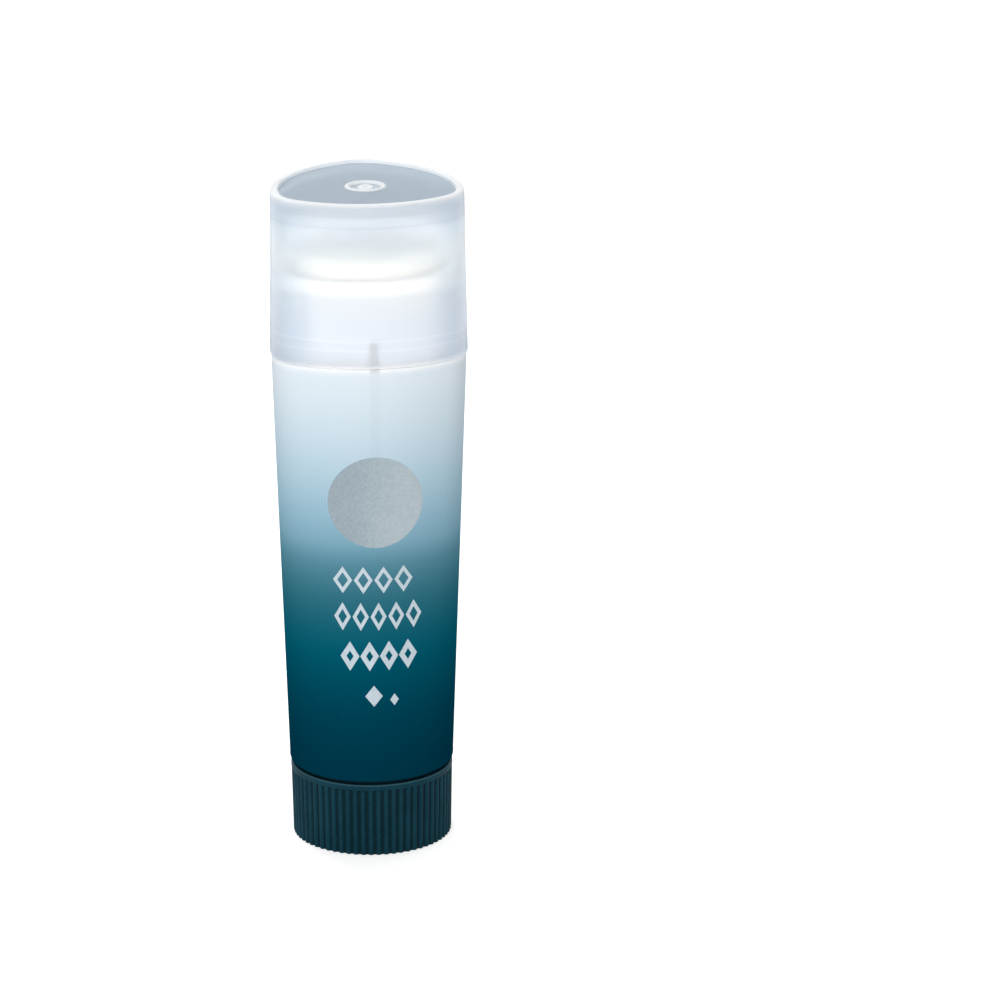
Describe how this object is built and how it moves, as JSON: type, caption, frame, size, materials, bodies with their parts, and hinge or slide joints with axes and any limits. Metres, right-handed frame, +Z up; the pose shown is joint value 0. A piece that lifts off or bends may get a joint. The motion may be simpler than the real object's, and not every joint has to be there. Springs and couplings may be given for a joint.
{
  "type": "glue stick",
  "caption": "Twist-up glue stick: pull-off frosted cap, tapering rounded-triangle barrel, ribbed turning base, screw spindle, carrier and cast glue column.",
  "frame": {"origin": "centre of the knob's underside, where the stick stands", "axes": "+Z up along the stick from the knob to the cap; -Y faces out of the front flat side of the rounded triangle, and one corner points to +Y; +X to the right seen from the front"},
  "size_m": [0.0244, 0.0246, 0.0844],
  "materials": {
    "frosted_cap": "satin frosted, translucent",
    "barrel_shell": "satin print, pale at the shoulder to deep teal at the foot",
    "knob_plastic": "matte moulded",
    "inner_plastic": "satin moulded",
    "glue": "waxy white"
  },
  "bodies": {
    "barrel": {"barrel": "barrel_shell"},
    "knob": {"knob": "knob_plastic", "spindle": "inner_plastic"},
    "carrier": {"carrier": "inner_plastic", "glue": "glue"},
    "cap": {"cap": "frosted_cap"}
  },
  "joints": [
    {"name": "knob_turn", "type": "hinge", "parent": "barrel", "child": "knob", "pos_m": [0, 0, 0], "axis": [0, 0, 1], "range_deg": [-630, 360]},
    {"name": "carrier_lift", "type": "slide", "parent": "barrel", "child": "carrier", "axis": [0, 0, 1], "range_m": [-0.007, 0.004]},
    {"name": "cap_lift", "type": "slide", "parent": "barrel", "child": "cap", "axis": [0, 0, 1], "range_m": [0, 0.025]}
  ],
  "couplings": [
    {"joint": "carrier_lift", "follows": "knob_turn", "m_per_rad": 0.00063662}
  ]
}
